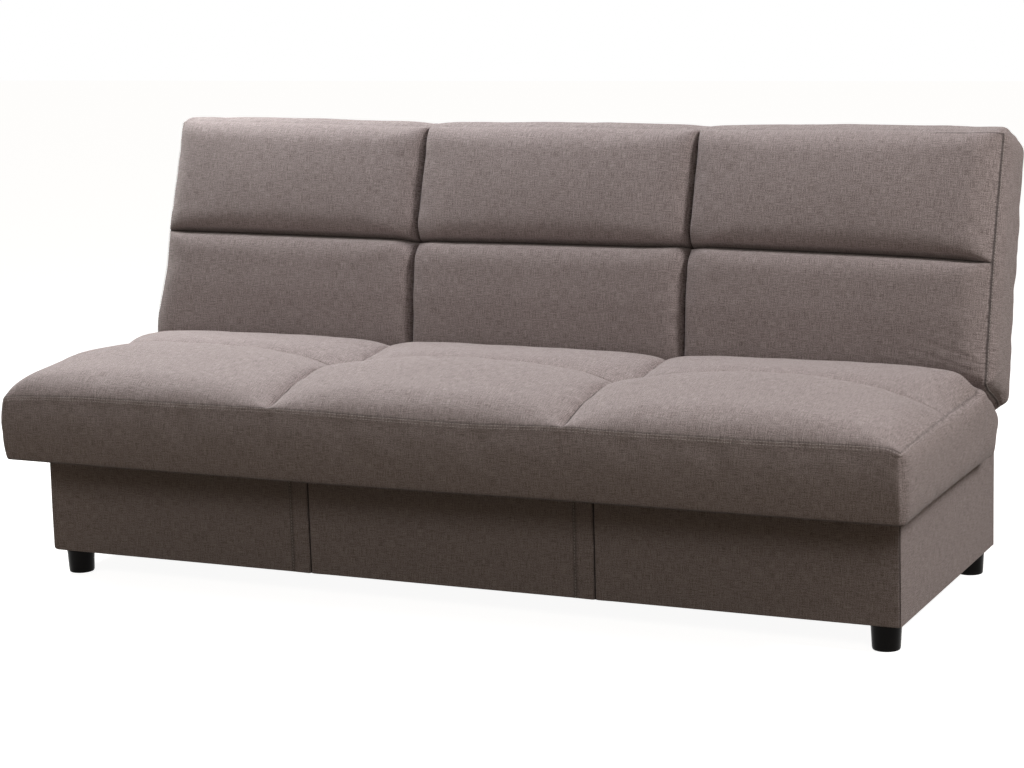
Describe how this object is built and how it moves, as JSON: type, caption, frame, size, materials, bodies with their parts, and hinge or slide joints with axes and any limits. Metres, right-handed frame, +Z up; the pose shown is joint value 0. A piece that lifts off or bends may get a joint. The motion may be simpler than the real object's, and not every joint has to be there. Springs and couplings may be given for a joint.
{
  "type": "click clack sofa bed",
  "caption": "Upholstered click clack sofa bed: padded seat and reclining back over a bedding box on short legs.",
  "frame": {"origin": "on the floor, under the middle of the whole sofa at rest", "axes": "+Z up, +Y towards the back of the sofa, +X to the right seen from the front"},
  "size_m": [1.916, 0.8896, 0.9047],
  "materials": {
    "upholstery": "matt woven linen look",
    "lining": "black non-woven",
    "foam": "open cell foam",
    "webbing": "elastic upholstery webbing",
    "leg_plastic": "black semi-gloss",
    "black_steel": "black powder coat",
    "zinc_steel": "zinc plated",
    "board": "raw particle board and hardboard",
    "timber": "planed softwood"
  },
  "bodies": {
    "base": {"box_floor_panel": "board", "box_front_board": "board", "box_rear_board": "board", "box_left_board": "board", "box_right_board": "board", "box_front_cleat": "timber", "box_rear_cleat": "timber", "box_cover": "upholstery", "box_rear_cover": "upholstery", "corner_block_front_left": "timber", "corner_block_front_right": "timber", "corner_block_rear_left": "timber", "corner_block_rear_right": "timber", "leg_front_left": "leg_plastic", "leg_front_right": "leg_plastic", "leg_rear_left": "leg_plastic", "leg_rear_right": "leg_plastic", "hinge_leaf_left": "zinc_steel", "hinge_leaf_right": "zinc_steel", "hinge_pin_left": "zinc_steel", "hinge_pin_right": "zinc_steel"},
    "lift_carrier": {"lift_frame": "black_steel", "lift_strap_left": "zinc_steel", "lift_strap_right": "zinc_steel", "pivot_bracket_left": "black_steel", "pivot_bracket_right": "black_steel"},
    "swing_links": {"link_left": "zinc_steel", "link_right": "zinc_steel", "link_bolt_left": "zinc_steel", "link_bolt_right": "zinc_steel"},
    "seat": {"seat_front_rail": "timber", "seat_rear_rail": "timber", "seat_left_rail": "timber", "seat_right_rail": "timber", "seat_inner_rail_left": "timber", "seat_inner_rail_right": "timber", "seat_centre_slat": "timber", "seat_webbing": "webbing", "seat_dust_cover": "lining", "seat_foam": "foam", "seat_cover": "upholstery", "seat_arm_left": "black_steel", "seat_arm_right": "black_steel", "hub_bolt_left": "zinc_steel", "hub_bolt_right": "zinc_steel", "pawl_pin_left": "zinc_steel", "pawl_pin_right": "zinc_steel"},
    "backrest": {"back_bottom_rail": "timber", "back_top_rail": "timber", "back_left_rail": "timber", "back_right_rail": "timber", "back_centre_slat": "timber", "back_webbing": "webbing", "back_foam": "foam", "back_cover": "upholstery", "back_rear_cover": "upholstery", "back_arm_left": "black_steel", "back_arm_right": "black_steel"},
    "pawl_left_body": {"pawl_left": "zinc_steel"},
    "pawl_right_body": {"pawl_right": "zinc_steel"}
  },
  "joints": [
    {"name": "seat_lift", "type": "hinge", "parent": "base", "child": "lift_carrier", "pos_m": [0, 0.329, 0.26], "axis": [-1, 0, 0], "range_deg": [0, 45]},
    {"name": "click_clack", "type": "hinge", "parent": "lift_carrier", "child": "swing_links", "pos_m": [0, 0.14696, 0.17728], "axis": [1, 0, 0], "range_deg": [0, 73.6]},
    {"name": "seat_level", "type": "hinge", "parent": "swing_links", "child": "seat", "pos_m": [0, 0.247, 0.311], "axis": [-1, 0, 0], "range_deg": [0, 73.6]},
    {"name": "back_recline", "type": "hinge", "parent": "seat", "child": "backrest", "pos_m": [0, 0.247, 0.311], "axis": [-1, 0, 0], "range_deg": [0, 73.6]},
    {"name": "pawl_left_click", "type": "hinge", "parent": "seat", "child": "pawl_left_body", "pos_m": [0, 0.1763, 0.311], "axis": [1, 0, 0], "range_deg": [0, 8]},
    {"name": "pawl_right_click", "type": "hinge", "parent": "seat", "child": "pawl_right_body", "pos_m": [0, 0.1763, 0.311], "axis": [1, 0, 0], "range_deg": [0, 8]}
  ],
  "couplings": [
    {"joint": "seat_level", "follows": "click_clack", "ratio": 1},
    {"joint": "back_recline", "follows": "click_clack", "ratio": 1}
  ]
}
